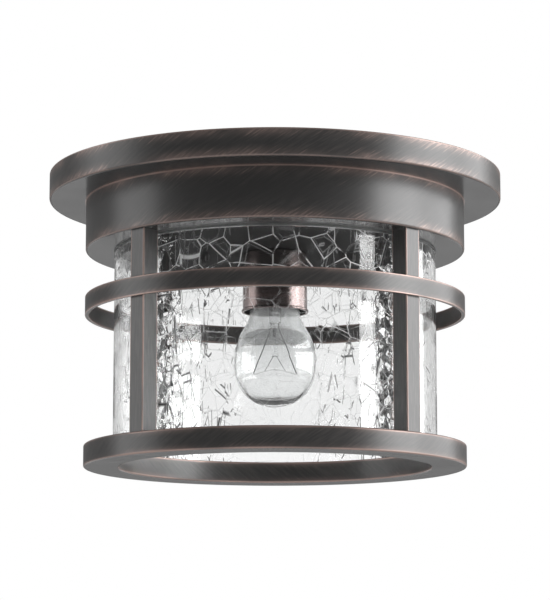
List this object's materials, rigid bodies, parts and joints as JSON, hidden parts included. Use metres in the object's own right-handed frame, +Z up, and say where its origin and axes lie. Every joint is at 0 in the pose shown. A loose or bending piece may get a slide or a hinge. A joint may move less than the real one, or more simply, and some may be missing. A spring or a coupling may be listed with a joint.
{
  "type": "ceiling lantern",
  "caption": "Flush-mount porch ceiling lantern: stepped dark bronze canopy, square posts, slim band and deep open ring round a crackle-glass cylinder, with a clear screw-in lamp in a cup.",
  "frame": {"origin": "centre of the ceiling plane: the middle of the mounting strap's upper face, level with the top of the canopy's rim", "axes": "+Z up into the ceiling along the lantern's centre line; +X to the viewer's right and -Y towards the viewer, with the four posts at 45 degrees between the axes"},
  "size_m": [0.33, 0.33, 0.2139],
  "materials": {
    "bronze_finish": "dark oil-rubbed bronze paint, satin, with copper rubbed through at the edges and brushed streaks beside them",
    "bronze_casting": "cast aluminium under the same dark oil-rubbed bronze paint, with copper rubbed through at the edges",
    "copper_brown": "brushed copper-brown lacquered metal",
    "zinc_plate": "zinc plate",
    "green_screw": "green dyed plate",
    "black_foam": "closed-cell foam",
    "black_rubber": "moulded rubber",
    "clear_silicone": "translucent silicone",
    "crackle_glass": "clear glass crazed into polygonal cells",
    "porcelain": "white glaze",
    "socket_brass": "stamped brass",
    "solder": "dull solder",
    "black_vitrite": "black glass",
    "lamp_cap_metal": "drawn aluminium",
    "cement": "matte basing cement",
    "clear_bulb_glass": "thin clear blown glass",
    "stem_glass": "clear lead-glass tube",
    "lamp_wire": "nickel and molybdenum wire",
    "tungsten": "coiled tungsten wire"
  },
  "bodies": {
    "lantern": {"ceiling_pan": "bronze_finish", "rim_gasket": "black_foam", "drum_shell": "bronze_finish", "mounting_strap": "zinc_plate", "fixture_studs": "zinc_plate", "stud_lock_nuts": "zinc_plate", "seal_washers": "black_rubber", "cap_nuts": "bronze_finish", "ground_screw": "green_screw", "post_back_right": "bronze_finish", "post_back_left": "bronze_finish", "post_front_left": "bronze_finish", "post_front_right": "bronze_finish", "post_end_plugs": "zinc_plate", "ring_studs": "zinc_plate", "post_screw_washers": "zinc_plate", "post_top_screws": "zinc_plate", "mid_band": "bronze_finish", "bottom_ring": "bronze_casting", "glass_cylinder": "crackle_glass", "glass_top_gasket": "clear_silicone", "glass_bottom_gasket": "clear_silicone", "socket_cup": "copper_brown", "socket_body": "porcelain", "socket_mounting_screws": "zinc_plate", "socket_screw_shell": "socket_brass", "socket_centre_contact": "socket_brass", "socket_rivets": "socket_brass", "socket_terminals": "socket_brass", "terminal_screws": "socket_brass"},
    "bulb_tip": {"bulb_centre_contact": "solder"},
    "bulb": {"bulb_cap_insulator": "black_vitrite", "bulb_screw_cap": "lamp_cap_metal", "bulb_cap_cement": "cement", "bulb_glass": "clear_bulb_glass", "bulb_stem": "stem_glass", "bulb_lead_wires": "lamp_wire", "bulb_support_wires": "lamp_wire", "bulb_filament": "tungsten"}
  },
  "joints": [
    {"name": "bulb_travel", "type": "slide", "parent": "lantern", "child": "bulb_tip", "axis": [0, 0, -1], "range_m": [0, 0.01462]},
    {"name": "bulb_turn", "type": "hinge", "parent": "bulb_tip", "child": "bulb", "pos_m": [0, 0, -0.0614], "axis": [0, 0, -1], "range_deg": [0, 1440]}
  ],
  "couplings": [
    {"joint": "bulb_travel", "follows": "bulb_turn", "m_per_rad": 0.00057757}
  ]
}
